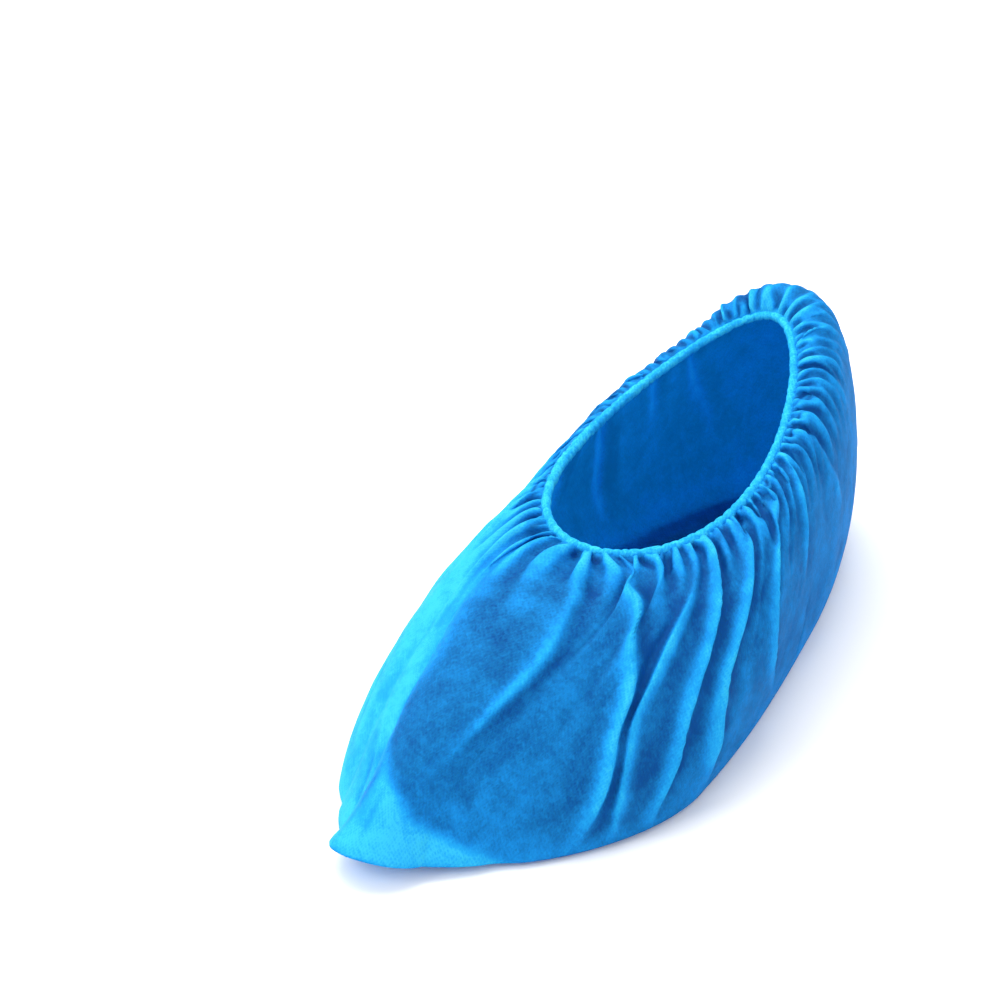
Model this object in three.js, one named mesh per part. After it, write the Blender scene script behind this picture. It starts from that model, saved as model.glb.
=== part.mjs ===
import * as THREE from 'three';

// A disposable shoe cover of spunbonded cloth, in the shape it keeps on a foot, with nothing in it.
// Millimetres. The toe is at -Y, the heel at +Y, the floor at z = 0.
// Places around the cover are shares of a full round: 0 at the toe, then +X, 0.5 at the heel, then -X.
// Places down the cloth are shares of the way from the opening's edge, 0, to the edge of the sole, 1.

// The sole's outline
const coverLength = 331;
const ballWidth = 127;
const heelWidth = 76;
const ballShare = 0.314;
const toeRoundness = 2;
const waistShare = 1.07;
const heelRoundShare = 0.53;
const toeTurn = 13.5;
const toeTurnCurve = 1.6;
const toeLift = 12;
const toeLiftCurve = 5;

// The soft corner that stands in front of the foot at the toe, with a notch at each side of it
const toeCornerRadius = 18;
const toeNotchPlace = 33;
const toeNotchDepth = 1.8;
const toeNotchSpread = 4.5;

// The opening
const openingLength = 147;
const openingWidth = 71;
const openingEgg = 0.27;
const openingBackInset = 49;
const rimHeightFront = 67;
const rimHeightSide = 79;
const rimHeightBack = 102.5;

// Cloth, elastic and the hem's roll around the elastic
const clothThickness = 1.2;
const elasticThickness = 1.8;
const hemThickness = 1.1;
const hemSlotAngle = 45;
const hemRuche = 0.14;
const gap = 0.3;

// Welded strips inside the toe and the heel
const seamWidth = 6;
const seamThickness = 1.2;
const seamGap = 0.6;
const seamStiffness = 0.7;
const seamStiffReach = 8;

// Small gathers that hang from the hem
const gatherCount = 32;
const gatherRise = 1.5;
const gatherShare = 0.2;

// The tallest main fold, how wide it spreads to each side, and the tallest swell
const foldDepth = 3.4;
const foldSpread = 5;
const swellDepth = 2.4;

// How fine the solids are
const columns = gatherCount * 4;
const hemColumns = gatherCount * 3;
const rowPlaces = [0, 0.025, 0.07, 0.13, 0.21, 0.31, 0.42, 0.54, 0.66, 0.78, 0.9, 1];
const soleRows = [0.12, 0.45, 1];
const innerSoleRows = [0.35, 1];

// How the cloth leaves the hem and how it comes down to the sole. The outward shares are of the ball
// width, the upward shares are of the rim's height above the sole at the same place.
const stations = [
  { around: 0.00, rimOut: 0.388, rimUp: 0.068, soleOut: -0.240, soleUp: 0.385 },
  { around: 0.08, rimOut: 0.290, rimUp: 0.045, soleOut: -0.070, soleUp: 0.450 },
  { around: 0.18, rimOut: 0.190, rimUp: 0.025, soleOut: 0.070, soleUp: 0.450 },
  { around: 0.30, rimOut: 0.150, rimUp: 0.095, soleOut: 0.075, soleUp: 0.430 },
  { around: 0.42, rimOut: 0.170, rimUp: 0.240, soleOut: 0.080, soleUp: 0.488 },
  { around: 0.50, rimOut: 0.135, rimUp: 0.350, soleOut: 0.060, soleUp: 0.512 },
  { around: 0.58, rimOut: 0.100, rimUp: 0.150, soleOut: 0.090, soleUp: 0.450 },
  { around: 0.70, rimOut: 0.112, rimUp: 0.048, soleOut: 0.080, soleUp: 0.385 },
  { around: 0.82, rimOut: 0.060, rimUp: -0.045, soleOut: 0.020, soleUp: 0.382 },
  { around: 0.92, rimOut: 0.205, rimUp: -0.015, soleOut: -0.050, soleUp: 0.430 },
];

// The main folds. Each one runs from its place on the rim to its place on the sole, carried aside by bow
// half way down, and shows between from and to. Rise and spread are shares of foldDepth and foldSpread.
const folds = [
  { rim: -0.010, sole: -0.051, bow: 0.059, from: 0.06, to: 0.80, rise: 0.88, spread: 1.00 },
  { rim: 0.000, sole: 0.062, bow: 0.000, from: 0.10, to: 0.58, rise: 0.47, spread: 0.72 },
  { rim: 0.014, sole: 0.104, bow: 0.036, from: 0.06, to: 0.97, rise: 1.00, spread: 0.92 },
  { rim: 0.088, sole: 0.108, bow: 0.014, from: 0.10, to: 0.97, rise: 0.88, spread: 0.92 },
  { rim: 0.124, sole: 0.158, bow: 0.000, from: 0.06, to: 0.95, rise: 0.76, spread: 0.92 },
  { rim: 0.165, sole: 0.200, bow: -0.018, from: 0.06, to: 0.92, rise: 0.82, spread: 1.00 },
  { rim: 0.232, sole: 0.290, bow: -0.055, from: 0.06, to: 0.90, rise: 0.76, spread: 1.08 },
  { rim: 0.262, sole: 0.330, bow: -0.020, from: 0.10, to: 0.70, rise: 0.53, spread: 1.00 },
  { rim: 0.288, sole: 0.390, bow: 0.000, from: 0.06, to: 0.76, rise: 0.65, spread: 0.92 },
  { rim: 0.318, sole: 0.434, bow: 0.000, from: 0.04, to: 0.70, rise: 0.71, spread: 0.92 },
  { rim: 0.362, sole: 0.452, bow: 0.000, from: 0.06, to: 0.62, rise: 0.56, spread: 0.88 },
  { rim: 0.404, sole: 0.470, bow: 0.000, from: 0.04, to: 0.72, rise: 0.65, spread: 0.96 },
  { rim: 0.446, sole: 0.476, bow: 0.000, from: 0.05, to: 0.50, rise: 0.47, spread: 0.84 },
  { rim: 0.552, sole: 0.520, bow: 0.000, from: 0.05, to: 0.60, rise: 0.44, spread: 0.88 },
  { rim: 0.590, sole: 0.546, bow: 0.010, from: 0.05, to: 0.80, rise: 0.53, spread: 0.96 },
  { rim: 0.632, sole: 0.600, bow: 0.000, from: 0.05, to: 0.66, rise: 0.59, spread: 0.92 },
  { rim: 0.672, sole: 0.642, bow: 0.008, from: 0.06, to: 0.92, rise: 0.76, spread: 1.04 },
  { rim: 0.716, sole: 0.700, bow: 0.000, from: 0.08, to: 0.74, rise: 0.59, spread: 0.96 },
  { rim: 0.762, sole: 0.752, bow: 0.010, from: 0.06, to: 0.93, rise: 0.82, spread: 1.04 },
  { rim: 0.806, sole: 0.806, bow: 0.012, from: 0.08, to: 0.82, rise: 0.65, spread: 0.96 },
  { rim: 0.846, sole: 0.862, bow: 0.010, from: 0.06, to: 0.88, rise: 0.71, spread: 1.00 },
  { rim: 0.880, sole: 0.962, bow: 0.006, from: 0.05, to: 0.56, rise: 0.65, spread: 0.88 },
  { rim: 0.934, sole: 0.936, bow: 0.008, from: 0.05, to: 0.64, rise: 0.59, spread: 0.88 },
];

// Broad swells and hollows of the cloth between the folds. Rise is a share of swellDepth.
const swells = [
  { around: 0.060, down: 0.72, rise: 0.92, spreadAround: 0.050, spreadDown: 0.16 },
  { around: 0.020, down: 0.82, rise: -0.75, spreadAround: 0.030, spreadDown: 0.05 },
  { around: 0.958, down: 0.66, rise: 0.67, spreadAround: 0.030, spreadDown: 0.16 },
  { around: 0.908, down: 0.54, rise: 1.00, spreadAround: 0.030, spreadDown: 0.24 },
  { around: 0.210, down: 0.62, rise: 0.67, spreadAround: 0.030, spreadDown: 0.18 },
  { around: 0.345, down: 0.80, rise: 0.83, spreadAround: 0.022, spreadDown: 0.09 },
  { around: 0.374, down: 0.88, rise: -0.67, spreadAround: 0.016, spreadDown: 0.08 },
  { around: 0.500, down: 0.42, rise: 0.75, spreadAround: 0.050, spreadDown: 0.20 },
  { around: 0.730, down: 0.70, rise: 0.75, spreadAround: 0.036, spreadDown: 0.16 },
];

const fullTurn = 2 * Math.PI;
const { lerp, smoothstep, clamp } = THREE.MathUtils;
const up = new THREE.Vector3(0, 0, 1);

// The middle of the elastic, all around the opening
class RimLine extends THREE.Curve {
  getPoint(share, target = new THREE.Vector3()) {
    const front = Math.cos(fullTurn * share);
    const side = Math.sin(fullTurn * share);
    const y = coverLength / 2 - openingBackInset - (openingLength / 2) * (1 + front);
    const x = (openingWidth / 2) * side * (1 + openingEgg * front);
    const middle = (rimHeightFront + 2 * rimHeightSide + rimHeightBack) / 4;
    const tilt = ((rimHeightFront - rimHeightBack) / 2) * front;
    const saddle = (rimHeightFront - 2 * rimHeightSide + rimHeightBack) / 4;
    return target.set(x, y, middle + tilt + saddle * Math.cos(2 * fullTurn * share));
  }
}

// How far the sole is lifted off the floor, at a share of its length from the toe
function soleLift(place) {
  return toeLift * clamp(1 - place / ballShare, 0, 1) ** toeLiftCurve;
}

function soleHeight(y) {
  return soleLift(y / coverLength + 0.5);
}

// Half of the sole's width at a share of its length from the toe
function halfWidth(place) {
  const toe = 1 - clamp(1 - place / ballShare, 0, 1) ** toeRoundness;
  const back = clamp((place - ballShare) / (1 - ballShare), 0, 1);
  const waist = 0.5 - 0.5 * Math.cos(Math.PI * clamp(back / waistShare, 0, 1));
  const round = clamp((back - heelRoundShare) / (1 - heelRoundShare), 0, 1) ** 2.4;
  const foot = lerp(ballWidth / 2, heelWidth / 2, waist) * toe * Math.sqrt(1 - round);
  const fromTip = place * coverLength;
  const corner = Math.sqrt(Math.max(0, fromTip * (2 * toeCornerRadius - fromTip)));
  const notch = toeNotchDepth * Math.exp(-(((fromTip - toeNotchPlace) / toeNotchSpread) ** 2));
  return Math.max(foot, corner) - notch * smoothstep(place, 0, 0.02);
}

// The sole's edge
class SoleLine extends THREE.Curve {
  getPoint(share, target = new THREE.Vector3()) {
    const place = (1 - Math.cos(fullTurn * share)) / 2;
    const side = share - Math.floor(share) < 0.5 ? 1 : -1;
    const aside = -toeTurn * clamp(1 - place / ballShare, 0, 1) ** toeTurnCurve;
    const x = side * halfWidth(place) + aside;
    return target.set(x, (place - 0.5) * coverLength, soleLift(place));
  }
}

const rimLine = new RimLine();
const soleLine = new SoleLine();
rimLine.arcLengthDivisions = 2400;
soleLine.arcLengthDivisions = 2400;
const rimLength = rimLine.getLength();
const soleLength = soleLine.getLength();

const wrap = (share) => share - Math.floor(share);

// One column of the station table at any place around, by a smooth curve through its rows
function station(column, around) {
  const count = stations.length;
  const row = (k) => stations[((k % count) + count) % count];
  const at = (k) => row(k).around + Math.floor(k / count);
  const slope = (k) => (row(k + 1)[column] - row(k - 1)[column]) / (at(k + 1) - at(k - 1));
  const share = wrap(around);
  let k = count - 1;
  while (at(k) > share) k -= 1;
  const span = at(k + 1) - at(k);
  const s = (share - at(k)) / span;
  const start = row(k)[column] * (1 + 2 * s) * (1 - s) ** 2 + slope(k) * span * s * (1 - s) ** 2;
  const end = row(k + 1)[column] * s * s * (3 - 2 * s) - slope(k + 1) * span * s * s * (1 - s);
  return start + end;
}

// Level direction away from the foot
function outward(around) {
  const ahead = soleLine.getPointAt(wrap(around + 0.01));
  const behind = soleLine.getPointAt(wrap(around - 0.01));
  return new THREE.Vector3(ahead.y - behind.y, behind.x - ahead.x, 0).normalize();
}

// Directions at the rim: along it, the way the cloth leaves it, and square to both
function rimFrame(around) {
  const centre = rimLine.getPointAt(wrap(around));
  const ahead = rimLine.getPointAt(wrap(around + 0.002));
  const behind = rimLine.getPointAt(wrap(around - 0.002));
  const along = ahead.sub(behind).normalize();
  const leave = outward(around).multiplyScalar(station('rimOut', around) * ballWidth);
  leave.addScaledVector(up, station('rimUp', around) * centre.z);
  leave.addScaledVector(along, -leave.dot(along)).normalize();
  const square = new THREE.Vector3().crossVectors(leave, along).normalize();
  return { centre, leave, square };
}

const elasticRadius = elasticThickness / 2;
const hemInside = elasticRadius + gap;
const hemOutside = hemInside + hemThickness;
const lipPlace = hemInside + gap / 2;

// The four points that shape the cloth's middle surface at a place around
const profiles = new Map();
function profile(around) {
  const key = Math.round(wrap(around) * 1e7);
  if (!profiles.has(key)) {
    const { centre, leave } = rimFrame(around);
    const out = outward(around);
    const edge = soleLine.getPointAt(wrap(around));
    const height = centre.z - edge.z;
    const start = centre.clone().addScaledVector(leave, lipPlace);
    const high = centre.clone().addScaledVector(out, station('rimOut', around) * ballWidth);
    high.addScaledVector(up, station('rimUp', around) * height);
    const end = edge.clone().addScaledVector(out, -clothThickness / 2);
    end.addScaledVector(up, clothThickness / 2);
    const low = end.clone().addScaledVector(out, station('soleOut', around) * ballWidth);
    low.addScaledVector(up, station('soleUp', around) * height);
    profiles.set(key, new THREE.CubicBezierCurve3(start, high, low, end));
  }
  return profiles.get(key);
}

function middle(around, down) {
  return profile(around).getPoint(down);
}

function normal(around, down) {
  const step = 0.004;
  const along = middle(around + step, down).sub(middle(around - step, down));
  const fall = middle(around, Math.min(1, down + step)).sub(middle(around, Math.max(0, down - step)));
  return fall.cross(along).normalize();
}

// Shortest way around between two places, as a share
function apart(a, b) {
  const d = wrap(a - b);
  return d > 0.5 ? d - 1 : d;
}

const bell = (x) => Math.exp(-x * x);

// How far folds, swells and gathers carry the cloth outward
function relief(around, down) {
  const round = lerp(rimLength, soleLength, down);
  let rise = 0;
  for (const fold of folds) {
    const line = lerp(fold.rim, fold.sole, down) + fold.bow * 4 * down * (1 - down);
    const off = (apart(around, line) * round) / (fold.spread * foldSpread);
    const shown = smoothstep(down, fold.from - 0.05, fold.from + 0.1);
    const faded = 1 - smoothstep(down, fold.to - 0.16, fold.to + 0.03);
    const crest = bell(off) - 0.42 * bell((off - 1.9) / 1.1) - 0.42 * bell((off + 1.9) / 1.1);
    rise += fold.rise * foldDepth * shown * faded * crest;
  }
  for (const swell of swells) {
    const off = apart(around, swell.around) / swell.spreadAround;
    rise += swell.rise * swellDepth * bell(off) * bell((down - swell.down) / swell.spreadDown);
  }
  const uneven = 1 + 0.35 * Math.sin(fullTurn * 5 * around + 1) + 0.2 * Math.sin(fullTurn * 11 * around);
  const near = smoothstep(down, 0, 0.05) * bell(down / gatherShare);
  rise += gatherRise * uneven * near * Math.sin(fullTurn * gatherCount * around);
  const fromSeam = (place) => (apart(around, place) * round) / seamStiffReach;
  const stiff = bell(fromSeam(0)) + bell(fromSeam(0.5));
  const held = 1 - seamStiffness * stiff;
  return rise * held * smoothstep(down, 0, 0.04) * (1 - smoothstep(down, 0.82, 0.98));
}

function outside(around, down) {
  if (down === 1) return soleLine.getPointAt(wrap(around));
  const lift = relief(around, down) + clothThickness / 2;
  return middle(around, down).addScaledVector(normal(around, down), lift);
}

// How far down the inner face goes before it meets the inside of the sole
function innerReach(around) {
  let low = 0.5;
  let high = 1;
  for (let k = 0; k < 30; k += 1) {
    const tried = (low + high) / 2;
    const point = middle(around, tried);
    if (point.z - soleHeight(point.y) > clothThickness * 1.6) low = tried;
    else high = tried;
  }
  return low;
}

function inside(around, down, reach) {
  const place = down * reach;
  const lift = relief(around, place) - clothThickness / 2;
  const point = middle(around, place).addScaledVector(normal(around, place), lift);
  if (down === 1) point.z = soleHeight(point.y) + clothThickness;
  return point;
}

// Rows across the sole, from its edge to the line half way between its two sides
function acrossSole(edge, shares, lift) {
  const count = edge.length;
  return shares.map((share) => edge.map((point, k) => {
    const spine = point.clone().add(edge[(count - k) % count]).multiplyScalar(0.5);
    const moved = point.clone().lerp(spine, share);
    if (point.distanceTo(spine) > 1e-6) moved.z = soleHeight(moved.y) + lift;
    return moved;
  }));
}

// A closed solid through rings of points; loop joins the last ring to the first, cap closes both ends
function solid(rings, { loop = false, cap = false } = {}) {
  const places = new Map();
  const points = [];
  const number = (point) => {
    const key = [point.x, point.y, point.z].map((v) => Math.round(v * 1000)).join();
    if (!places.has(key)) {
      places.set(key, points.length / 3);
      points.push(point.x, point.y, point.z);
    }
    return places.get(key);
  };
  const faces = [];
  const face = (a, b, c) => {
    if (a !== b && b !== c && a !== c) faces.push(a, b, c);
  };
  const grid = rings.map((ring) => ring.map(number));
  const last = loop ? grid.length : grid.length - 1;
  for (let j = 0; j < last; j += 1) {
    const here = grid[j];
    const next = grid[(j + 1) % grid.length];
    for (let i = 0; i < here.length; i += 1) {
      const k = (i + 1) % here.length;
      face(here[i], next[i], next[k]);
      face(here[i], next[k], here[k]);
    }
  }
  if (cap) {
    const first = grid[0];
    const final = grid[grid.length - 1];
    for (let i = 1; i < first.length - 1; i += 1) {
      face(first[0], first[i], first[i + 1]);
      face(final[0], final[i + 1], final[i]);
    }
  }
  const geometry = new THREE.BufferGeometry();
  geometry.setAttribute('position', new THREE.Float32BufferAttribute(points, 3));
  geometry.setIndex(faces);
  return faceOutward(geometry);
}

// Turns every face of a closed solid to look outward
function faceOutward(geometry) {
  const at = geometry.getAttribute('position');
  const index = geometry.getIndex().array;
  const corner = [new THREE.Vector3(), new THREE.Vector3(), new THREE.Vector3()];
  let volume = 0;
  for (let k = 0; k < index.length; k += 3) {
    corner.forEach((v, n) => v.fromBufferAttribute(at, index[k + n]));
    volume += corner[0].dot(corner[1].clone().cross(corner[2])) / 6;
  }
  if (volume < 0) {
    for (let k = 0; k < index.length; k += 3) {
      const held = index[k];
      index[k] = index[k + 1];
      index[k + 1] = held;
    }
  }
  geometry.computeVertexNormals();
  return geometry;
}

const cover = new THREE.Group();
cover.name = 'shoe_cover';

function add(name, geometry, color, roughness) {
  const material = new THREE.MeshStandardMaterial({ color, roughness, side: THREE.DoubleSide });
  const mesh = new THREE.Mesh(geometry, material);
  mesh.name = name;
  cover.add(mesh);
}

// The cloth: one sheet that makes the upper, the toe, the heel and the sole
const places = Array.from({ length: columns }, (_, k) => k / columns);
const reaches = places.map(innerReach);
const outerRings = rowPlaces.map((down) => places.map((around) => outside(around, down)));
const innerRings = rowPlaces.map((down) => places.map((around, k) => inside(around, down, reaches[k])));
const outerSole = acrossSole(outerRings[outerRings.length - 1], soleRows, 0);
const innerSole = acrossSole(innerRings[innerRings.length - 1], innerSoleRows, clothThickness);
const clothRings = [
  ...innerSole.slice().reverse(),
  ...innerRings.slice().reverse(),
  ...outerRings,
  ...outerSole,
];
add('fabric_body', solid(clothRings), 0x1f7fd0, 0.85);

// A ring of cross-sections around the opening. Each corner of a section is a distance from the elastic's
// middle and an angle from the way the cloth leaves the hem.
function aroundRim(section) {
  return Array.from({ length: hemColumns }, (_, k) => {
    const around = k / hemColumns;
    const { centre, leave, square } = rimFrame(around);
    return section(around).map(({ distance, angle }) => {
      const turned = THREE.MathUtils.degToRad(angle);
      return centre.clone()
        .addScaledVector(leave, distance * Math.cos(turned))
        .addScaledVector(square, distance * Math.sin(turned));
    });
  });
}

// The hem: a roll of the cloth around the elastic, open along the side where the cloth hangs from it
const hemSweep = 360 - 2 * hemSlotAngle;
const hemOuterSteps = 7;
const hemInnerSteps = 6;
const hemInnerCorner = hemInside / Math.cos(THREE.MathUtils.degToRad(hemSweep / hemInnerSteps / 2));
function hemSection(around) {
  const ruche = hemRuche * Math.sin(fullTurn * gatherCount * around);
  const outer = Array.from({ length: hemOuterSteps + 1 }, (_, k) => (
    { distance: hemOutside + ruche, angle: hemSlotAngle + (hemSweep * k) / hemOuterSteps }
  ));
  const inner = Array.from({ length: hemInnerSteps + 1 }, (_, k) => (
    { distance: hemInnerCorner, angle: 360 - hemSlotAngle - (hemSweep * k) / hemInnerSteps }
  ));
  return [...outer, ...inner];
}
add('rim_hem', solid(aroundRim(hemSection), { loop: true }), 0x35b4f2, 0.8);

// The elastic: a round cord inside the hem
const elasticSides = 6;
const elasticSection = () => Array.from({ length: elasticSides }, (_, k) => (
  { distance: elasticRadius, angle: (360 * k) / elasticSides }
));
add('elastic_cord', solid(aroundRim(elasticSection), { loop: true }), 0xe9eef2, 0.6);

// A welded strip on the inside of the cloth, down one column of it
function seam(column) {
  const before = (column + columns - 1) % columns;
  const after = (column + 1) % columns;
  const rings = innerRings.slice(3, -2).map((ring) => {
    const centre = ring[column];
    const reach = (next) => {
      const way = next.clone().sub(centre);
      return centre.clone().addScaledVector(way, Math.min(0.9, seamWidth / 2 / way.length()));
    };
    return { left: reach(ring[before]), centre, right: reach(ring[after]) };
  });
  const sections = rings.map(({ left, centre, right }, k) => {
    const above = rings[Math.max(0, k - 1)].centre;
    const below = rings[Math.min(rings.length - 1, k + 1)].centre;
    const inward = right.clone().sub(left).cross(below.clone().sub(above)).normalize();
    const raised = (point, height) => point.clone().addScaledVector(inward, height);
    return [
      raised(left, seamGap),
      raised(centre, seamGap),
      raised(right, seamGap),
      raised(right, seamGap + seamThickness),
      raised(centre, seamGap + seamThickness),
      raised(left, seamGap + seamThickness),
    ];
  });
  return sections.reverse();
}
add('toe_seam', solid(seam(0), { cap: true }), 0x1b74c4, 0.8);
add('heel_seam', solid(seam(columns / 2), { cap: true }), 0x1b74c4, 0.8);

// The origin is under the middle of the whole cover, on the floor
const bounds = new THREE.Box3().setFromObject(cover);
const centre = bounds.getCenter(new THREE.Vector3());
cover.children.forEach((mesh) => mesh.geometry.translate(-centre.x, -centre.y, -bounds.min.z));

export default cover;
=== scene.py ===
import math

import bpy
import numpy as np
from mathutils import Matrix, Vector


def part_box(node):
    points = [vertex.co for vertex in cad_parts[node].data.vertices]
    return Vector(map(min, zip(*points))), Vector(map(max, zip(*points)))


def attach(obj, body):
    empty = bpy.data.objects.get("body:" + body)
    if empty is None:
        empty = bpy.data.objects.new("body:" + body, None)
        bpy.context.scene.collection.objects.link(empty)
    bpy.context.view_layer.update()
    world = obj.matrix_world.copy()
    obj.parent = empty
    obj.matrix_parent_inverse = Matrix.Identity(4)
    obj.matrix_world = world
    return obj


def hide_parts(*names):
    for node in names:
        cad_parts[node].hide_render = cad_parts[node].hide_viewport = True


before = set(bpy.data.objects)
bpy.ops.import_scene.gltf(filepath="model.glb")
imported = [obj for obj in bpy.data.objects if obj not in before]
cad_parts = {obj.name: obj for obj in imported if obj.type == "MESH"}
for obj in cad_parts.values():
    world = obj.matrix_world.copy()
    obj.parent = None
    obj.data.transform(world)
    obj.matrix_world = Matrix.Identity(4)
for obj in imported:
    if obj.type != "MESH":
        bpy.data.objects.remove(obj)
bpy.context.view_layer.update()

MM = 0.001
TURN = 2 * math.pi

# Sizes of the cover, in millimetres. Places around it are shares of a full round: 0 at the toe, then +X,
# 0.5 at the heel, then -X. Places down the cloth are shares of the way from the opening to the sole's edge.
COVER_LENGTH = 331
BALL_WIDTH = 127
HEEL_WIDTH = 76
BALL_SHARE = 0.314
TOE_ROUNDNESS = 2
WAIST_SHARE = 1.07
HEEL_ROUND_SHARE = 0.53
TOE_TURN = 13.5
TOE_TURN_CURVE = 1.6
TOE_LIFT = 12
TOE_LIFT_CURVE = 5
TOE_CORNER_RADIUS = 18
TOE_NOTCH_PLACE = 33
TOE_NOTCH_DEPTH = 1.8
TOE_NOTCH_SPREAD = 4.5
OPENING_LENGTH = 147
OPENING_WIDTH = 71
OPENING_EGG = 0.27
OPENING_BACK_INSET = 49
RIM_FRONT = 67
RIM_SIDE = 79
RIM_BACK = 102.5

HEM_RADIUS = 2.0
ELASTIC_RADIUS = 0.9
CLOTH_THICKNESS = 0.4
CUT_ROUND = 0.768  # the cloth's length around before it is gathered, in metres
GATHER_REACH = 20

# The cloth's grid, and the hem's and the elastic's rings and the sides of each ring
COLUMNS = 700
WALL_ROWS = 63
SOLE_ROWS = 5
HEM_RINGS, HEM_SIDES = 1400, 20
ELASTIC_RINGS, ELASTIC_SIDES = 360, 12

# The hem's roll: how much flatter it is than round, as a share, and in millimetres how deep its puckers
# draw it in, how uneven it is and how far its threads are twisted along
HEM_FLATNESS = 0.1
HEM_PUCKER = 0.42
HEM_UNEVENNESS = 0.16
HEM_TWIST = 0.5

# How the cloth leaves the hem and comes down to the sole: outward as a share of the ball's width, upward
# as a share of the rim's height
STATIONS = {
    "around": (0.00, 0.08, 0.18, 0.30, 0.42, 0.50, 0.58, 0.70, 0.82, 0.92),
    "rim_out": (0.388, 0.290, 0.190, 0.150, 0.170, 0.135, 0.100, 0.112, 0.060, 0.205),
    "rim_up": (0.068, 0.045, 0.025, 0.095, 0.240, 0.350, 0.150, 0.048, -0.045, -0.015),
    "sole_out": (-0.240, -0.070, 0.070, 0.075, 0.080, 0.060, 0.090, 0.080, 0.020, -0.050),
    "sole_up": (0.385, 0.450, 0.450, 0.430, 0.488, 0.512, 0.450, 0.385, 0.382, 0.430),
}

# Main folds: place at the rim, place at the sole, how far the line is carried aside half way, where it
# starts and ends, height and half width in millimetres, and how far it leans: over its +X side if more than 0
FOLDS = (
    (-0.004, 0.010, 0.018, 0.05, 0.72, 2.2, 2.4, 0.4),
    (0.014, 0.104, 0.038, 0.10, 0.99, 3.4, 3.0, 0.5),
    (0.104, 0.128, -0.004, 0.24, 0.99, 3.2, 2.3, -0.8),
    (0.112, 0.150, 0.012, 0.07, 0.98, 3.1, 2.8, 0.9),
    (0.170, 0.190, -0.016, 0.09, 0.97, 3.3, 3.0, 0.9),
    (0.232, 0.290, -0.055, 0.01, 0.90, 2.4, 3.0, 0.8),
    (0.262, 0.330, -0.020, 0.06, 0.66, 1.4, 3.0, 0.4),
    (0.292, 0.386, 0.010, 0.04, 0.70, 1.2, 3.2, 0.4),
    (0.322, 0.424, -0.008, 0.05, 0.50, 0.8, 3.8, 0.4),
    (0.368, 0.446, 0.006, 0.08, 0.50, 0.6, 4.4, 0.3),
    (0.404, 0.462, -0.006, 0.03, 0.40, 0.7, 4.4, 0.3),
    (0.446, 0.472, 0.000, 0.06, 0.40, 0.6, 4.2, 0.2),
    (0.552, 0.520, 0.000, 0.04, 0.40, 0.7, 4.0, -0.2),
    (0.590, 0.546, 0.010, 0.04, 0.80, 1.7, 3.0, -0.5),
    (0.632, 0.600, 0.000, 0.04, 0.66, 2.0, 3.0, -0.5),
    (0.672, 0.642, 0.008, 0.04, 0.92, 2.7, 3.0, -0.8),
    (0.716, 0.700, 0.000, 0.05, 0.74, 2.1, 2.8, -0.6),
    (0.762, 0.752, 0.010, 0.04, 0.95, 2.9, 3.0, -0.8),
    (0.806, 0.806, 0.012, 0.05, 0.86, 2.3, 2.8, -0.7),
    (0.846, 0.862, 0.010, 0.04, 0.70, 2.0, 3.0, -0.6),
    (0.880, 0.950, 0.006, 0.03, 0.42, 1.4, 2.8, 0.4),
    (0.934, 0.948, 0.008, 0.03, 0.46, 1.4, 2.8, 0.3),
)

# Broad swells and hollows: place around, place down, height in millimetres, reach around, reach down
SWELLS = (
    (0.060, 0.72, 2.2, 0.050, 0.16),
    (0.958, 0.66, 1.6, 0.030, 0.16),
    (0.908, 0.54, 2.4, 0.030, 0.24),
    (0.210, 0.62, 1.6, 0.030, 0.18),
    (0.345, 0.80, 2.0, 0.022, 0.09),
    (0.374, 0.88, -1.6, 0.016, 0.08),
    (0.500, 0.42, 1.8, 0.050, 0.20),
    (0.730, 0.70, 1.8, 0.036, 0.16),
)

# Deep creases below the hem: place around, how far down they end, depth and half width in millimetres
CREASES = (
    (0.036, 0.34, 1.5, 1.5), (0.053, 0.24, 1.1, 1.0), (0.070, 0.18, 1.2, 0.9), (0.077, 0.33, 1.5, 1.2),
    (0.090, 0.23, 1.1, 0.9), (0.103, 0.21, 1.2, 0.9), (0.122, 0.40, 1.7, 1.3), (0.137, 0.18, 1.0, 0.8),
    (0.166, 0.42, 1.8, 1.5), (0.191, 0.16, 1.2, 0.9), (0.203, 0.20, 1.3, 0.9), (0.216, 0.34, 1.4, 1.1),
    (0.247, 0.40, 1.6, 1.2), (0.258, 0.24, 1.1, 0.9), (0.273, 0.30, 1.5, 1.0), (0.290, 0.26, 1.3, 0.9),
    (0.303, 0.46, 1.7, 1.2), (0.331, 0.34, 1.5, 1.1), (0.346, 0.26, 1.3, 1.0), (0.378, 0.36, 1.5, 1.2),
    (0.393, 0.22, 1.1, 0.9), (0.425, 0.28, 1.2, 1.0), (0.463, 0.20, 1.0, 0.9), (0.489, 0.26, 1.2, 0.8),
    (0.527, 0.26, 1.3, 0.8), (0.567, 0.24, 1.2, 1.0), (0.974, 0.36, 1.3, 1.1), (0.966, 0.24, 1.2, 1.0),
    (0.948, 0.30, 1.2, 1.0), (0.918, 0.34, 1.4, 1.1), (0.901, 0.22, 1.1, 0.9), (0.006, 0.22, 1.2, 0.9),
    (0.020, 0.18, 1.1, 0.9), (0.990, 0.46, 1.8, 1.1),
)

# How many small puckers there are all around, under the hem and on its roll, and how many light wrinkles
# there are over the wall
PUCKERS = 84
WRINKLES = 190

# Where the cloth of the toe's soft corner ends: a hollow line that comes down towards +X
TOE_LINE_PLACE = 0.745
TOE_LINE_SLOPE = 2.9
TOE_LINE_DEPTH = 1.2

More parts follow.
